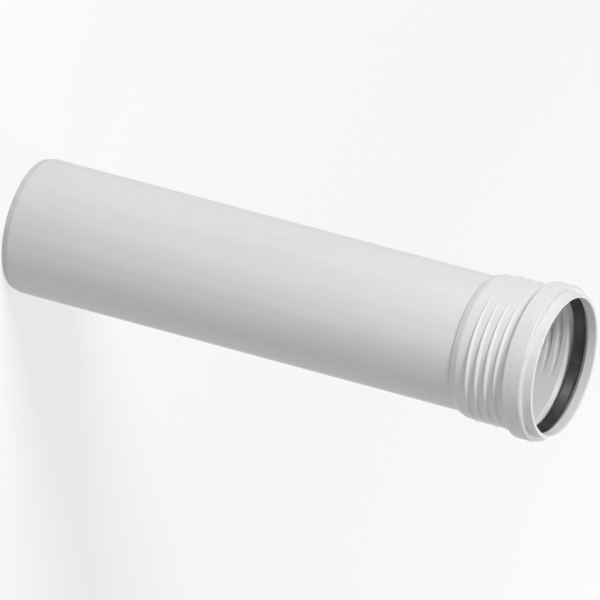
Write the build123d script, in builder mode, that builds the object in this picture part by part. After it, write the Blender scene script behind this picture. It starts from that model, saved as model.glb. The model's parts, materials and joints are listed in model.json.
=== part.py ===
"""Soil pipe: a plain pipe with a chamfered spigot, a ribbed push-fit socket and a lip seal in its bead.

The pipe stands on its spigot end. +Z runs along the axis to the mouth of the socket, and the origin is the
centre of the spigot end. The two sides of the socket that carry ribs face +Y and -Y. Lengths are in
millimetres, and heights are measured from the spigot end.
"""
import os
from math import cos, hypot, radians, tan

from build123d import *

# Plain pipe
pipe_radius = 55.0
pipe_wall = 3.4
laying_length = 404.0  # spigot end to the stop inside the socket
spigot_chamfer_length = 5.6
spigot_chamfer_depth = 1.6

# Socket, from the stop to the mouth
socket_depth = 70.0
socket_play = 0.45  # between the next pipe's outside and the socket, all round
socket_wall = 3.15
stop_width = 2.0  # flat ring on which the next spigot comes to rest
inner_taper_length = 5.0
shoulder_lead = 2.6  # the outer shoulder starts this far before the stop
shoulder_rise = 1.5
outer_taper_length = 5.5

# Bead that holds the seal, and the lip in front of it
lip_length = 7.8
lip_wall = 3.4
lip_taper = 0.3
mouth_play = 0.6
mouth_chamfer = 0.5
bead_length = 15.5
bead_rise = 5.1
bead_wall = 3.1
bead_front_wall = 2.6
bead_flank = 1.7  # axial length of the steep rear flank
bead_front_rounding = 1.5
groove_length = 15.1
groove_ramp_length = 6.1
groove_slope_length = 2.9
groove_slope_rise = 2.2

# Ribs on two sides of the socket, each with a shallower groove behind it
rib_count = 4
rib_sides = 2
rib_pitch = 8.25
rib_lead = 10.1  # top of the outer taper to the first rib
rib_rise = 2.6  # at the middle of its side
rib_reach = 75.0  # degrees from the middle of its side to its tip
rib_crest_width = 0.8
rib_flank_angle = 30.0  # degrees from the radius
flute_depth = 1.15
flute_reach = 47.7
flute_floor_width = 2.1
flute_flank_angle = 53.0

# Lip seal
seal_play = 0.1  # to the floor of the groove
seal_length = 8.4
seal_nose_length = 2.0
seal_nose_drop = 0.7
seal_squeeze = 1.1  # how far the sealing lip reaches inside the next pipe's outside
seal_lip_length = 6.4
seal_lip_thickness = 1.4
seal_heel = 1.9
seal_pocket = 4.2
seal_nose_rounding = 1.5

# Radii that follow
bore_radius = pipe_radius - pipe_wall
stop_radius = bore_radius + stop_width
shoulder_radius = pipe_radius + shoulder_rise
socket_radius = pipe_radius + socket_play
socket_outer_radius = socket_radius + socket_wall
bead_radius = socket_outer_radius + bead_rise
groove_radius = bead_radius - bead_wall
mouth_radius = pipe_radius + mouth_play
lip_root_radius = mouth_radius + lip_wall
lip_radius = lip_root_radius - lip_taper
groove_shoulder_radius = mouth_radius + groove_slope_rise

# Heights that follow
stop_height = laying_length
shoulder_height = stop_height - shoulder_lead
outer_taper_top = shoulder_height + outer_taper_length
inner_taper_top = stop_height + inner_taper_length
mouth_height = stop_height + socket_depth
bead_front = mouth_height - lip_length
bead_rear = bead_front - bead_length
bead_foot = bead_rear - bead_flank
groove_front = bead_front - bead_front_wall
groove_mouth = groove_front + groove_slope_length
groove_rear = groove_front - groove_length
groove_ramp_top = groove_rear + groove_ramp_length
rib_heights = [outer_taper_top + rib_lead + rib_pitch * number for number in range(rib_count)]


def ring_off_axis(wall_radius, rise, reach):
    """Shift and radius of a circle that stands out of a round wall by rise at its middle and by nothing at
    its tips, reach degrees to either side.
    """
    top = wall_radius + rise
    shift = (top**2 - wall_radius**2) / (2 * (top - wall_radius * cos(radians(reach))))
    return shift, top - shift


def ridge_section(crest_radius, crest_width, flank_angle, depth):
    """Half-section of a ridge in radius and height: a flat crest, and flanks that widen towards the axis."""
    root_width = crest_width + 2 * depth * tan(radians(flank_angle))
    Polyline(
        (crest_radius - depth, -root_width / 2),
        (crest_radius, -crest_width / 2),
        (crest_radius, crest_width / 2),
        (crest_radius - depth, root_width / 2),
        close=True,
    )


def section_beside_axis(shift):
    """Upright plane through a ring's own axis, which lies beside the pipe's axis towards +Y."""
    return Plane(origin=(0, shift, 0), x_dir=(1, 0, 0), z_dir=(0, -1, 0))


# One rib: a ring off the pipe's axis, whose crest leaves the wall along a crescent
rib_shift, rib_ring_radius = ring_off_axis(socket_outer_radius, rib_rise, rib_reach)
rib_foot_radius = socket_outer_radius - socket_wall / 2  # ribs are rooted in the middle of the wall

with BuildPart() as rib:
    with BuildSketch(section_beside_axis(rib_shift)):
        with BuildLine():
            ridge_section(rib_ring_radius, rib_crest_width, rib_flank_angle, rib_rise + socket_wall)
        make_face()
    revolve(axis=Axis((0, rib_shift, 0), (0, 0, 1)))
    Cylinder(rib_foot_radius, socket_depth, mode=Mode.SUBTRACT)

# The flute behind a rib: a groove in the inner wall, made by a ring off the axis in the same way
flute_shift, flute_ring_radius = ring_off_axis(socket_radius, flute_depth, flute_reach)

with BuildPart() as flute:
    with BuildSketch(section_beside_axis(flute_shift)):
        with BuildLine():
            ridge_section(flute_ring_radius, flute_floor_width, flute_flank_angle, 2 * flute_depth)
        make_face()
    revolve(axis=Axis((0, flute_shift, 0), (0, 0, 1)))

# Pipe and socket, one wall
bead_front_corner = (bead_radius, bead_front)
wall_corners = [
    (bore_radius, 0),
    (pipe_radius - spigot_chamfer_depth, 0),
    (pipe_radius, spigot_chamfer_length),
    (pipe_radius, shoulder_height),
    (shoulder_radius, shoulder_height),
    (socket_outer_radius, outer_taper_top),
    (socket_outer_radius, bead_foot),
    (bead_radius, bead_rear),
    bead_front_corner,
    (lip_root_radius, bead_front),
    (lip_radius, mouth_height - mouth_chamfer),
    (lip_radius - mouth_chamfer, mouth_height),
    (mouth_radius + mouth_chamfer, mouth_height),
    (mouth_radius, mouth_height - mouth_chamfer),
    (mouth_radius, groove_mouth),
    (groove_shoulder_radius, groove_front),
    (groove_radius, groove_front),
    (groove_radius, groove_ramp_top),
    (socket_radius, groove_rear),
    (socket_radius, inner_taper_top),
    (stop_radius, stop_height),
    (bore_radius, stop_height),
]
wall_roundings = [bead_front_rounding if corner == bead_front_corner else 0 for corner in wall_corners]

with BuildPart() as pipe:
    with BuildSketch(Plane.XZ):
        with BuildLine():
            FilletPolyline(wall_corners, radius=wall_roundings, close=True)
        make_face()
    revolve(axis=Axis.Z)
    with Locations(*[(0, 0, height) for height in rib_heights]):
        with PolarLocations(0, rib_sides):
            add(rib.part)
            add(flute.part, mode=Mode.SUBTRACT)

# Lip seal: a heel that fills the groove's front, and a lip that leans inwards, away from the mouth
seal_outer_radius = groove_radius - seal_play
seal_rear = groove_front - seal_length
seal_nose_radius = groove_shoulder_radius - seal_nose_drop
seal_nose_height = groove_front - seal_nose_length
seal_tip_radius = pipe_radius - seal_squeeze
seal_tip_height = seal_nose_height - seal_lip_length
seal_lip_slope = hypot(seal_nose_radius - seal_tip_radius, seal_lip_length)
seal_back_out = seal_lip_thickness * seal_lip_length / seal_lip_slope
seal_back_down = seal_lip_thickness * (seal_nose_radius - seal_tip_radius) / seal_lip_slope

seal_nose_corner = (seal_nose_radius, seal_nose_height)
seal_corners = [
    (seal_outer_radius, groove_front),
    (seal_outer_radius, seal_rear),
    (seal_outer_radius - seal_heel / 2, seal_rear),
    (seal_outer_radius - seal_heel, seal_rear + seal_pocket),
    (seal_tip_radius + seal_back_out, seal_tip_height - seal_back_down),
    (seal_tip_radius, seal_tip_height),
    seal_nose_corner,
    (groove_shoulder_radius, groove_front),
]
seal_roundings = [seal_nose_rounding if corner == seal_nose_corner else 0 for corner in seal_corners]

with BuildPart() as lip_seal:
    with BuildSketch(Plane.XZ):
        with BuildLine():
            FilletPolyline(seal_corners, radius=seal_roundings, close=True)
        make_face()
    revolve(axis=Axis.Z)

# Files, one for each piece
os.makedirs("parts", exist_ok=True)
pipe.part.label = "pipe"
export_step(pipe.part, "parts/pipe.step")
lip_seal.part.label = "lip_seal"
export_step(lip_seal.part, "parts/lip_seal.step")
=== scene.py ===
"""Looks of a soil pipe: the pipe with its ribbed push-fit socket, and the rubber seal in the socket's bead.

Lengths are in metres. The pipe stands on its spigot end, heights run from there to the mouth of the socket,
and the ribbed sides of the socket face +Y and -Y.
"""
import json
from math import cos, hypot, pi, radians, sin, sqrt, tan

import bmesh
import bpy
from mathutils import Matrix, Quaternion, Vector


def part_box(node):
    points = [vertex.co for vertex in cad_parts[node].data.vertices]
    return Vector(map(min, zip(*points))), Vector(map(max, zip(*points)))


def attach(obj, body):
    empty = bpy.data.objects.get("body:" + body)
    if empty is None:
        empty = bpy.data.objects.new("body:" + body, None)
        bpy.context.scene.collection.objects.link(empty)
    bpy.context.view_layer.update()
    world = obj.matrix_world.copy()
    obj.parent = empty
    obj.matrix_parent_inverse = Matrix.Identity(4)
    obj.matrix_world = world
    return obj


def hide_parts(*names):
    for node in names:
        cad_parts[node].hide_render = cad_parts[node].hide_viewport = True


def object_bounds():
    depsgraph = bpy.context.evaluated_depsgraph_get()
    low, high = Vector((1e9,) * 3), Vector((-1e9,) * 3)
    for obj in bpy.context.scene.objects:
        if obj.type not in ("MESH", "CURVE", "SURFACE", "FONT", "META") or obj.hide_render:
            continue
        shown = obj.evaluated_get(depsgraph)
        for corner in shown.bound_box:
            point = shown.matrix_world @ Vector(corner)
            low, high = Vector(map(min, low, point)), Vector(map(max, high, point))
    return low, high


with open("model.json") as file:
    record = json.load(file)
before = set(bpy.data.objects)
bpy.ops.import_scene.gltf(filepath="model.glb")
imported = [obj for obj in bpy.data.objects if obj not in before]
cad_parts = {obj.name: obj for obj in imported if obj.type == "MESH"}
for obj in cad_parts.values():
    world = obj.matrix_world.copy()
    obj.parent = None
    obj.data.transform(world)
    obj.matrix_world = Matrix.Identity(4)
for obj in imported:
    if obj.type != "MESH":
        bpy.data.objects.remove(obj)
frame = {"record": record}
cad_low, cad_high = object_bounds()

mm = 0.001

# Sizes that the frame gives
mounts = {mount["name"]: mount["dims"] for mount in frame["record"]["mounts"]}
seal_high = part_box("lip_seal")[1]
pipe_radius = mounts["spigot"]["r_mm"] * mm
bore_radius = mounts["pipe_bore"]["r_mm"] * mm
stop_height = mounts["pipe_bore"]["length_mm"] * mm
mouth_radius = mounts["socket_mouth"]["r_mm"] * mm
mouth_height = cad_high.z
bead_radius = cad_high.x
groove_front = seal_high.z
seal_outer_radius = seal_high.x

# Plain pipe
chamfer_length = 5.6 * mm
chamfer_depth = 1.6 * mm
chamfer_edge = 0.5 * mm
cut_edge = 0.25 * mm  # rounding that a saw cut keeps after its burr is taken off

# Socket wall and its shoulder
socket_radius = 55.45 * mm
socket_outer_radius = 58.6 * mm
stop_width = 2.0 * mm
inner_taper_top = stop_height + 5.0 * mm
shoulder_radius = 56.5 * mm
shoulder_height = stop_height - 2.6 * mm
outer_taper_top = shoulder_height + 5.5 * mm
moulded_edge = 0.5 * mm
moulded_root = 0.35 * mm
taper_edge = 1.0 * mm

# Bead, groove and mouth
lip_root_radius = 59.0 * mm
lip_radius = 58.7 * mm
mouth_edge = 0.8 * mm
bead_front = mouth_height - 7.8 * mm
bead_rear = bead_front - 15.5 * mm
bead_foot = bead_rear - 1.7 * mm
bead_front_edge = 1.5 * mm
bead_rear_edge = 0.9 * mm
bead_root = 0.7 * mm
groove_shoulder_radius = 57.8 * mm
groove_radius = 60.6 * mm
groove_mouth = groove_front + 2.9 * mm
groove_rear = groove_front - 15.1 * mm
groove_ramp_top = groove_rear + 6.1 * mm

# Ribs outside the socket, and the flutes behind them
rib_count = 4
rib_pitch = 8.25 * mm
rib_lead = 10.1 * mm  # top of the outer taper to the first rib
rib_rise = 2.6 * mm  # at the middle of its side
rib_reach = radians(75)  # from the middle of its side to its tip
rib_crest = 0.75 * mm  # radius of the rounded crest
rib_flank = radians(30)
rib_root = 0.4 * mm  # softness of the hollow at its foot
flute_depth = 1.15 * mm
flute_reach = radians(47.7)
flute_hollow = 3.3 * mm  # radius of the rounded hollow
flute_edge = 0.15 * mm  # softness of its rim
rib_heights = [outer_taper_top + rib_lead + rib_pitch * number for number in range(rib_count)]

# Rows of the wall in which ribs and flutes are shaped, to either side of each rib's middle
row_step = 0.25 * mm
rib_rows = 11
flute_rows = 12

# Lip seal
seal_rear = groove_front - 8.4 * mm
seal_nose_radius = 57.1 * mm
seal_nose_height = groove_front - 2.0 * mm
seal_tip_radius = 53.9 * mm
seal_tip_height = seal_nose_height - 6.4 * mm
seal_lip_thickness = 1.4 * mm
seal_heel = 1.9 * mm
seal_pocket = 4.2 * mm
seal_nose_edge = 1.5 * mm
seal_tip_edge = 0.5 * mm
seal_edge = 0.4 * mm

# Fineness of the round pieces
turn_steps = 288
edge_step = radians(18)  # turn of each facet in a rounded edge
fewest_facets = 2
round_profile = 0.5  # of a bevel that follows an arc
smooth_angle = radians(40)
same_place = 0.002 * mm

# Colours in linear red, green, blue and alpha
plastic_pale = (0.82, 0.83, 0.82, 1)
plastic_dull = (0.76, 0.77, 0.755, 1)
drawn_mark_grey = (0.66, 0.67, 0.66, 1)
scuff_grey = (0.5, 0.5, 0.48, 1)
rubber_black = (0.018, 0.018, 0.019, 1)
rubber_bloom = (0.05, 0.05, 0.052, 1)
white = (1, 1, 1, 1)
floor_pale = (0.95, 0.95, 0.95, 1)
floor_bounce = (0.5, 0.5, 0.5, 1)  # of the light that the floor throws on the pipe

# Grains of the surfaces, as repeats in a metre: across and along the pipe, or the same every way
tone_band_repeats = (26, 26, 4)
broad_mark_repeats = (240, 240, 1.5)
fine_mark_repeats = (1100, 1100, 7)
turned_rub_repeats = (45, 45, 420)
pushed_rub_repeats = (420, 420, 30)
speckle_repeats = 1400
turned_ring_repeats = 520
bloom_repeats = 90
skin_repeats = 1600

# Stretch of each noise over which a mark goes from nothing to full
even_range = (0.3, 0.7)
mark_range = (0.4, 0.64)
scuff_range = (0.55, 0.72)
bloom_range = (0.4, 0.75)

# How strongly the pipe's marks show in tone, roughness and relief
broad_mark_share = 0.6
fine_mark_share = 0.4
mark_tint = 0.3
scuff_tint = 0.3
satin_roughness = (0.34, 0.42)
mark_roughness = 0.08
scuff_roughness = 0.15
mark_relief = 0.6
speckle_relief = 0.3
ring_waver = 0.6
plastic_relief_height = 0.06 * mm
plastic_ior = 1.49

# Gloss and relief of the rubber
rubber_roughness = (0.36, 0.54)
skin_relief_height = 0.05 * mm

# Strength of the relief on both pieces
relief_strength = 0.3

# Where the pipe's marks lie
mark_fade = 0.5 * mm  # drawing marks fade over this length, up to the shoulder
moulded_share = 0.15  # what the moulded socket has of them
turned_fade = 0.2 * mm  # turned rings fade over this length, up to the chamfer's edge
bead_rub_range = (socket_outer_radius + 0.5 * mm, socket_outer_radius + 2.5 * mm)
pushed_length = 67 * mm  # of the spigot, as far as it goes into a socket
pushed_share = 0.8

# Sockets of the colour mix that carry its two colours and its result
mix_first = 6
mix_second = 7
mix_result = 2

# Stage
floor_size = 40.0
floor_white = 0.62  # share of plain white in the floor that the camera sees
ambient_strength = 0.33
backdrop_strength = 0.95
sensor_width = 36.0  # in millimetres, as the lens is


def deselect_all():
    """Leaves no object selected, the nodes of the frame included."""
    bpy.ops.object.select_all(action="DESELECT")


def select_points(piece, chosen):
    """In edit mode, selects the points of a piece for which chosen(place) is true."""
    mesh = bmesh.from_edit_mesh(piece.data)
    for point in mesh.verts:
        point.select = chosen(point.co)
    mesh.select_flush_mode()
    bmesh.update_edit_mesh(piece.data)


def round_corner(piece, before, corner, after, rounding):
    """Rounds one corner of a drawn outline to an arc of the given radius."""
    turn = (corner - before).angle(after - corner)
    select_points(piece, lambda place: (place - corner).length < same_place)
    bpy.ops.mesh.bevel(
        offset=rounding * tan(turn / 2),
        offset_type="OFFSET",
        segments=max(fewest_facets, round(turn / edge_step)),
        profile=round_profile,
        affect="VERTICES",
    )


def draw_outline(name, outline):
    """Draws a closed outline in the XZ plane through (radius, height, rounding) corners, and rounds it."""
    deselect_all()
    bpy.ops.mesh.primitive_plane_add(size=mm)
    piece = bpy.context.object
    piece.name = name
    piece.data.name = name
    corners = [Vector((radius, 0, height)) for radius, height, rounding in outline]
    bpy.ops.object.mode_set(mode="EDIT")
    bpy.ops.mesh.merge(type="CENTER")
    bpy.ops.transform.translate(value=corners[0])
    for here, there in zip(corners, corners[1:] + corners[:1]):
        bpy.ops.mesh.extrude_region_move(TRANSFORM_OT_translate={"value": there - here})
    bpy.ops.mesh.select_all(action="SELECT")
    bpy.ops.mesh.remove_doubles(threshold=same_place)
    for number, (radius, height, rounding) in enumerate(outline):
        if rounding:
            after = corners[(number + 1) % len(corners)]
            round_corner(piece, corners[number - 1], corners[number], after, rounding)
    return piece


def spin_outline(piece):
    """Spins a drawn outline once round the pipe's axis and closes the seam."""
    bpy.ops.mesh.select_all(action="SELECT")
    bpy.ops.mesh.spin(steps=turn_steps, angle=2 * pi, center=(0, 0, 0), axis=(0, 0, 1))
    bpy.ops.mesh.select_all(action="SELECT")
    bpy.ops.mesh.remove_doubles(threshold=same_place)
    bpy.ops.mesh.normals_make_consistent(inside=False)
    bpy.ops.object.mode_set(mode="OBJECT")


def smooth_surface(piece):
    """Shades a piece smooth, with its broad faces leading at the rounded edges."""
    deselect_all()
    piece.select_set(True)
    bpy.context.view_layer.objects.active = piece
    bpy.ops.object.shade_smooth_by_angle(angle=smooth_angle)
    bpy.ops.object.modifier_add(type="WEIGHTED_NORMAL")
    piece.modifiers[-1].keep_sharp = True
    bpy.ops.object.modifier_apply(modifier=piece.modifiers[-1].name)


def seat(piece, node, material):
    """Lets a finished piece stand for its node, with its finish."""
    piece.data.materials.clear()
    piece.data.materials.append(material)
    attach(piece, "root")
    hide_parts(node)


def ring_off_axis(wall_radius, rise, reach):
    """Shift and radius of a circle that stands out of a round wall by rise at its middle and by nothing at
    its tips, at the angle reach to either side.
    """
    top = wall_radius + rise
    shift = (top**2 - wall_radius**2) / (2 * (top - wall_radius * cos(reach)))
    return shift, top - shift


def ring_distance(shift, ring_radius, side):
    """Distance from the pipe's axis to a ring off that axis, where side is the cosine from its own side."""
    return shift * side + sqrt(ring_radius**2 - shift**2 * (1 - side**2))


def soft_maximum(first, second, softness):
    """The larger of two values, with a rounded change from one to the other."""
    overlap = max(softness - abs(first - second), 0) / softness
    return max(first, second) + overlap**2 * softness / 4


def rib_drop(offset):
    """Fall of a rib below its crest at an offset along the pipe: a round crest, then a straight flank."""
    crest_half = rib_crest * cos(rib_flank)
    if offset < crest_half:
        return rib_crest - sqrt(rib_crest**2 - offset**2)
    return rib_crest * (1 - sin(rib_flank)) + (offset - crest_half) / tan(rib_flank)


def flute_drop(offset):
    """Rise of a flute from its deepest line at an offset along the pipe: a round hollow."""
    return flute_hollow - sqrt(flute_hollow**2 - offset**2)


def shape_ridges(piece, wall_radius, rise, reach, drop, rows, softness):
    """Moves the rows beside each rib's middle out of a round wall, to ridges that fade at their tips."""
    shift, ring_radius = ring_off_axis(wall_radius, rise, reach)
    for point in piece.data.vertices:
        radius = hypot(point.co.x, point.co.y)
        offset = min(abs(point.co.z - height) for height in rib_heights)
        if abs(radius - wall_radius) > same_place or offset > row_step * rows + same_place:
            continue
        side = abs(point.co.y) / radius
        ridge = ring_distance(shift, ring_radius, side) - drop(offset)
        stretch = soft_maximum(wall_radius, ridge, softness) / radius
        point.co.x *= stretch
        point.co.y *= stretch


def wall_rows(wall_radius, rows):
    """Plain corners of an outline on either side of each rib's middle, from the stop towards the mouth."""
    offsets = [row_step * number for number in range(-rows, rows + 1)]
    return [(wall_radius, height + offset, 0) for height in rib_heights for offset in offsets]


def make_pipe():
    """The pipe and its socket, one wall from the spigot end to the mouth and back along the inside."""
    outline = [
        (bore_radius, 0, cut_edge),
        (pipe_radius - chamfer_depth, 0, cut_edge),
        (pipe_radius, chamfer_length, chamfer_edge),
        (pipe_radius, shoulder_height, moulded_root),
        (shoulder_radius, shoulder_height, moulded_edge),
        (socket_outer_radius, outer_taper_top, taper_edge),
        *wall_rows(socket_outer_radius, rib_rows),
        (socket_outer_radius, bead_foot, bead_root),
        (bead_radius, bead_rear, bead_rear_edge),
        (bead_radius, bead_front, bead_front_edge),
        (lip_root_radius, bead_front, moulded_root),
        (lip_radius, mouth_height, mouth_edge),
        (mouth_radius, mouth_height, mouth_edge),
        (mouth_radius, groove_mouth, moulded_edge),
        (groove_shoulder_radius, groove_front, cut_edge),
        (groove_radius, groove_front, moulded_root),
        (groove_radius, groove_ramp_top, moulded_edge),
        (socket_radius, groove_rear, moulded_edge),
        *reversed(wall_rows(socket_radius, flute_rows)),
        (socket_radius, inner_taper_top, taper_edge),
        (bore_radius + stop_width, stop_height, moulded_root),
        (bore_radius, stop_height, moulded_edge),
    ]
    piece = draw_outline("pipe_with_socket", outline)
    spin_outline(piece)
    shape_ridges(piece, socket_outer_radius, rib_rise, rib_reach, rib_drop, rib_rows, rib_root)
    shape_ridges(piece, socket_radius, flute_depth, flute_reach, flute_drop, flute_rows, flute_edge)
    smooth_surface(piece)
    return piece


def make_seal():
    """The rubber ring: a heel in the front of the groove, and a lip that leans in, away from the mouth."""
    lip_fall = seal_nose_height - seal_tip_height
    lip_lean = seal_nose_radius - seal_tip_radius
    lip_slope = hypot(lip_lean, lip_fall)
    back_out = seal_lip_thickness * lip_fall / lip_slope
    back_down = seal_lip_thickness * lip_lean / lip_slope
    outline = [
        (seal_outer_radius, groove_front, seal_edge),
        (seal_outer_radius, seal_rear, seal_edge),
        (seal_outer_radius - seal_heel / 2, seal_rear, seal_edge),
        (seal_outer_radius - seal_heel, seal_rear + seal_pocket, seal_edge),
        (seal_tip_radius + back_out, seal_tip_height - back_down, seal_tip_edge),
        (seal_tip_radius, seal_tip_height, seal_tip_edge),
        (seal_nose_radius, seal_nose_height, seal_nose_edge),
        (groove_shoulder_radius, groove_front, cut_edge),
    ]
    piece = draw_outline("rubber_lip_seal", outline)
    spin_outline(piece)
    smooth_surface(piece)
    return piece


def empty_nodes(owner, output_kind):
    """Turns on the nodes of a material or world and leaves only an output."""
    owner.use_nodes = True
    owner.node_tree.nodes.clear()
    return owner.node_tree, owner.node_tree.nodes.new(output_kind)


def new_finish(name):
    """A material whose shader waits for its colour, roughness and relief."""
    material = bpy.data.materials.new(name)
    tree, output = empty_nodes(material, "ShaderNodeOutputMaterial")
    shader = tree.nodes.new("ShaderNodeBsdfPrincipled")
    tree.links.new(shader.outputs["BSDF"], output.inputs["Surface"])
    return material, tree, shader


def add_node(tree, kind, sockets, **settings):
    """Adds a node with its settings, and fills its sockets with plain values or links from other nodes."""
    made = tree.nodes.new(kind)
    for name, value in settings.items():
        setattr(made, name, value)
    for socket, value in sockets.items():
        if isinstance(value, bpy.types.NodeSocket):
            tree.links.new(value, made.inputs[socket])
        else:
            made.inputs[socket].default_value = value
    return made


def object_place(tree, repeats=(1, 1, 1)):
    """Object coordinates, stretched along each axis."""
    place = add_node(tree, "ShaderNodeTexCoord", {})
    sockets = {"Vector": place.outputs["Object"], "Scale": repeats}
    return add_node(tree, "ShaderNodeMapping", sockets).outputs["Vector"]


def grain(tree, place, repeats, detail=3.0, roughness=0.5):
    """Noise from 0 to 1 at a place."""
    sockets = {"Vector": place, "Scale": repeats, "Detail": detail, "Roughness": roughness}
    return add_node(tree, "ShaderNodeTexNoise", sockets).outputs["Fac"]


def streaks(tree, repeats, detail=5.0):
    """Noise drawn out along the axes on which it repeats least."""
    return grain(tree, object_place(tree, repeats), repeats=1, detail=detail, roughness=0.6)


def span(tree, value, taken, given=(0, 1)):
    """A value stretched from one range to another, and held at its ends."""
    sockets = {"Value": value, "From Min": taken[0], "From Max": taken[1]}
    sockets.update({"To Min": given[0], "To Max": given[1]})
    return add_node(tree, "ShaderNodeMapRange", sockets).outputs["Result"]


def reckon(tree, operation, first, second):
    """Two values put together by one step of arithmetic."""
    return add_node(tree, "ShaderNodeMath", {0: first, 1: second}, operation=operation).outputs[0]


def multiply(tree, first, second):
    """One value times another."""
    return reckon(tree, "MULTIPLY", first, second)


def add_up(tree, *values):
    """All the values added up."""
    total = values[0]
    for value in values[1:]:
        total = reckon(tree, "ADD", total, value)
    return total


def blend_colours(tree, share, first, second):
    """A colour between two others."""
    sockets = {"Factor": share, mix_first: first, mix_second: second}
    return add_node(tree, "ShaderNodeMix", sockets, data_type="RGBA").outputs[mix_result]


def drawing_marks(tree, height):
    """Fine lines along the pipe from the die that it was drawn through, with hardly any on the socket."""
    broad = multiply(tree, streaks(tree, broad_mark_repeats), broad_mark_share)
    fine = multiply(tree, streaks(tree, fine_mark_repeats, detail=3.0), fine_mark_share)
    lines = span(tree, add_up(tree, broad, fine), mark_range)
    drawn_share = span(tree, height, (shoulder_height - mark_fade, shoulder_height), (1, moulded_share))
    return multiply(tree, lines, drawn_share)


def rubbed_places(tree, height, radius):
    """Scuffs round the proud bead, and along the spigot where it has been pushed into a socket."""
    bead_share = span(tree, radius, bead_rub_range)
    spigot_share = span(tree, height, (chamfer_length, pushed_length), (pushed_share, 0))
    bead_scuffs = multiply(tree, span(tree, streaks(tree, turned_rub_repeats), scuff_range), bead_share)
    spigot_scuffs = multiply(tree, span(tree, streaks(tree, pushed_rub_repeats), scuff_range), spigot_share)
    return reckon(tree, "MAXIMUM", bead_scuffs, spigot_scuffs)


def turned_rings(tree, place, height):
    """Fine rings that the cutter leaves on the chamfer and on the end of the spigot."""
    sockets = {"Vector": place, "Scale": turned_ring_repeats, "Distortion": ring_waver, "Detail": 1.0}
    settings = {"wave_type": "RINGS", "rings_direction": "Z"}
    rings = add_node(tree, "ShaderNodeTexWave", sockets, **settings).outputs["Fac"]
    turned_share = span(tree, height, (chamfer_length - turned_fade, chamfer_length), (1, 0))
    return multiply(tree, rings, turned_share)


def give_relief(tree, shader, relief, height):
    """Raises a shader's surface by a pattern, as far as its height."""
    sockets = {"Height": relief, "Strength": relief_strength, "Distance": height}
    bump = add_node(tree, "ShaderNodeBump", sockets)
    tree.links.new(bump.outputs["Normal"], shader.inputs["Normal"])


def pipe_plastic():
    """Satin off-white plastic: drawn along the pipe, moulded at the socket, turned at the chamfered end."""
    material, tree, shader = new_finish("off_white_pipe_plastic")
    place = object_place(tree)
    parts = add_node(tree, "ShaderNodeSeparateXYZ", {"Vector": place}).outputs
    level_place = add_node(tree, "ShaderNodeCombineXYZ", {"X": parts["X"], "Y": parts["Y"]}).outputs[0]
    radius = add_node(tree, "ShaderNodeVectorMath", {0: level_place}, operation="LENGTH").outputs["Value"]

    bands = streaks(tree, tone_band_repeats, detail=4.0)
    speckle = grain(tree, place, speckle_repeats, detail=2.0)
    marks = drawing_marks(tree, parts["Z"])
    scuffs = rubbed_places(tree, parts["Z"], radius)
    rings = turned_rings(tree, place, parts["Z"])

    tone = blend_colours(tree, span(tree, bands, even_range), plastic_dull, plastic_pale)
    tone = blend_colours(tree, multiply(tree, marks, mark_tint), tone, drawn_mark_grey)
    tone = blend_colours(tree, multiply(tree, scuffs, scuff_tint), tone, scuff_grey)
    tree.links.new(tone, shader.inputs["Base Color"])

    satin = span(tree, bands, even_range, satin_roughness)
    marked = multiply(tree, marks, mark_roughness)
    scuffed = multiply(tree, scuffs, scuff_roughness)
    tree.links.new(add_up(tree, satin, marked, scuffed), shader.inputs["Roughness"])

    drawn_relief = multiply(tree, marks, mark_relief)
    fine_relief = multiply(tree, speckle, speckle_relief)
    give_relief(tree, shader, add_up(tree, drawn_relief, fine_relief, rings), plastic_relief_height)
    shader.inputs["IOR"].default_value = plastic_ior
    return material


def seal_rubber():
    """Black moulded rubber with a faint grey bloom and the dull gloss of its slip coating."""
    material, tree, shader = new_finish("black_seal_rubber")
    place = object_place(tree)
    bloom = grain(tree, place, bloom_repeats, detail=5.0, roughness=0.6)
    tone = blend_colours(tree, span(tree, bloom, bloom_range), rubber_black, rubber_bloom)
    tree.links.new(tone, shader.inputs["Base Color"])
    tree.links.new(span(tree, bloom, even_range, rubber_roughness), shader.inputs["Roughness"])
    give_relief(tree, shader, grain(tree, place, skin_repeats), skin_relief_height)
    return material


def background_rays(tree):
    """1 for rays that see the background, straight or in a reflection, and 0 for its light on things."""
    path = add_node(tree, "ShaderNodeLightPath", {}).outputs
    seen = reckon(tree, "MAXIMUM", path["Is Camera Ray"], path["Is Glossy Ray"])
    return reckon(tree, "MAXIMUM", seen, path["Is Transmission Ray"])


def mix_shaders(tree, share, first, second):
    """A shader between two others."""
    return add_node(tree, "ShaderNodeMixShader", {0: share, 1: first.outputs[0], 2: second.outputs[0]})


def make_floor():
    """The plain pale floor that the pipe stands on: it looks nearly white, and keeps the pipe's shadow."""
    deselect_all()
    bpy.ops.mesh.primitive_plane_add(size=floor_size)
    floor = bpy.context.object
    floor.name = "pale_floor"
    material = bpy.data.materials.new("pale_floor")
    tree, output = empty_nodes(material, "ShaderNodeOutputMaterial")
    bounce = add_node(tree, "ShaderNodeBsdfDiffuse", {"Color": floor_bounce})
    shaded = add_node(tree, "ShaderNodeBsdfDiffuse", {"Color": floor_pale})
    plain_white = add_node(tree, "ShaderNodeEmission", {"Color": white, "Strength": 1.0})
    seen_floor = mix_shaders(tree, floor_white, shaded, plain_white)
    surface = mix_shaders(tree, background_rays(tree), bounce, seen_floor)
    tree.links.new(surface.outputs[0], output.inputs["Surface"])
    floor.data.materials.append(material)


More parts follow.
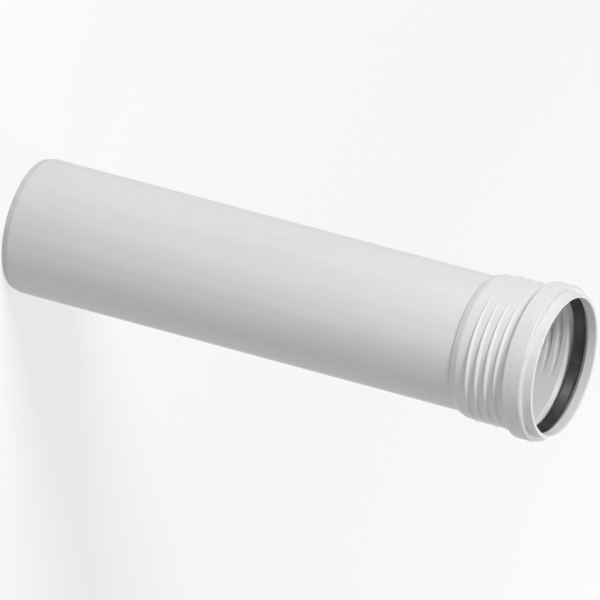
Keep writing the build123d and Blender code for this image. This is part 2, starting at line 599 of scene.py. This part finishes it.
def make_world():
    """Even pale surroundings, with the floor's own white where the camera looks past the floor."""
    world = bpy.data.worlds.new("pale_surroundings")
    tree, output = empty_nodes(world, "ShaderNodeOutputWorld")
    seen = add_node(tree, "ShaderNodeLightPath", {}).outputs["Is Camera Ray"]
    ambient = add_node(tree, "ShaderNodeBackground", {"Color": white, "Strength": ambient_strength})
    backdrop = add_node(tree, "ShaderNodeBackground", {"Color": white, "Strength": backdrop_strength})
    tree.links.new(mix_shaders(tree, seen, ambient, backdrop).outputs[0], output.inputs["Surface"])
    bpy.context.scene.world = world


def hang_softbox(name, place, size, watts):
    """A square soft lamp at a place, aimed at the middle of the pipe and hidden from the camera."""
    middle = Vector((0, 0, mouth_height / 2))
    deselect_all()
    bpy.ops.object.light_add(type="AREA", location=place)
    lamp = bpy.context.object
    lamp.name = name
    lamp.data.size = size
    lamp.data.energy = watts
    lamp.rotation_euler = (Vector(place) - middle).to_track_quat("Z", "Y").to_euler()
    lamp.visible_camera = False


def make_lights():
    """A soft lamp above the mouth that rakes over the ribs, one behind, and weak ones to fill the shade."""
    hang_softbox("key_softbox", place=(1.9, 0.45, 2.1), size=0.7, watts=44)
    hang_softbox("rear_softbox", place=(-1.9, -1.9, 0.8), size=1.4, watts=30)
    hang_softbox("side_softbox", place=(1.8, -0.2, 0.4), size=0.7, watts=4)
    hang_softbox("fill_softbox", place=(-1.8, 1.8, 1.3), size=1.6, watts=10)


def make_camera():
    """A long lens that sees the pipe as the drawing shows it: nearly parallel, and lying on its side."""
    azimuth = radians(55.92)  # from +X towards +Y
    elevation = radians(23.33)
    roll = radians(90 + 15)  # the axis falls by 15 degrees towards the mouth
    distance = 15.0
    picture_width = 0.4747  # at the pipe
    aim_right = 2.06 * mm  # from the middle of the pipe
    aim_up = -3.86 * mm
    level = cos(elevation)
    back = Vector((cos(azimuth) * level, sin(azimuth) * level, sin(elevation)))
    turn = back.to_track_quat("Z", "Y") @ Quaternion((0, 0, 1), roll)
    aim = Vector((0, 0, mouth_height / 2)) + turn @ Vector((aim_right, aim_up, 0))
    deselect_all()
    bpy.ops.object.camera_add(location=aim + back * distance, rotation=turn.to_euler())
    camera = bpy.context.object
    camera.data.sensor_width = sensor_width
    camera.data.lens = sensor_width * distance / picture_width
    camera.data.clip_end = 2 * distance
    bpy.context.scene.camera = camera


bpy.context.scene.view_settings.view_transform = "Standard"
make_camera()
make_floor()
make_world()
make_lights()
seat(make_pipe(), "pipe", pipe_plastic())
seat(make_seal(), "lip_seal", seal_rubber())
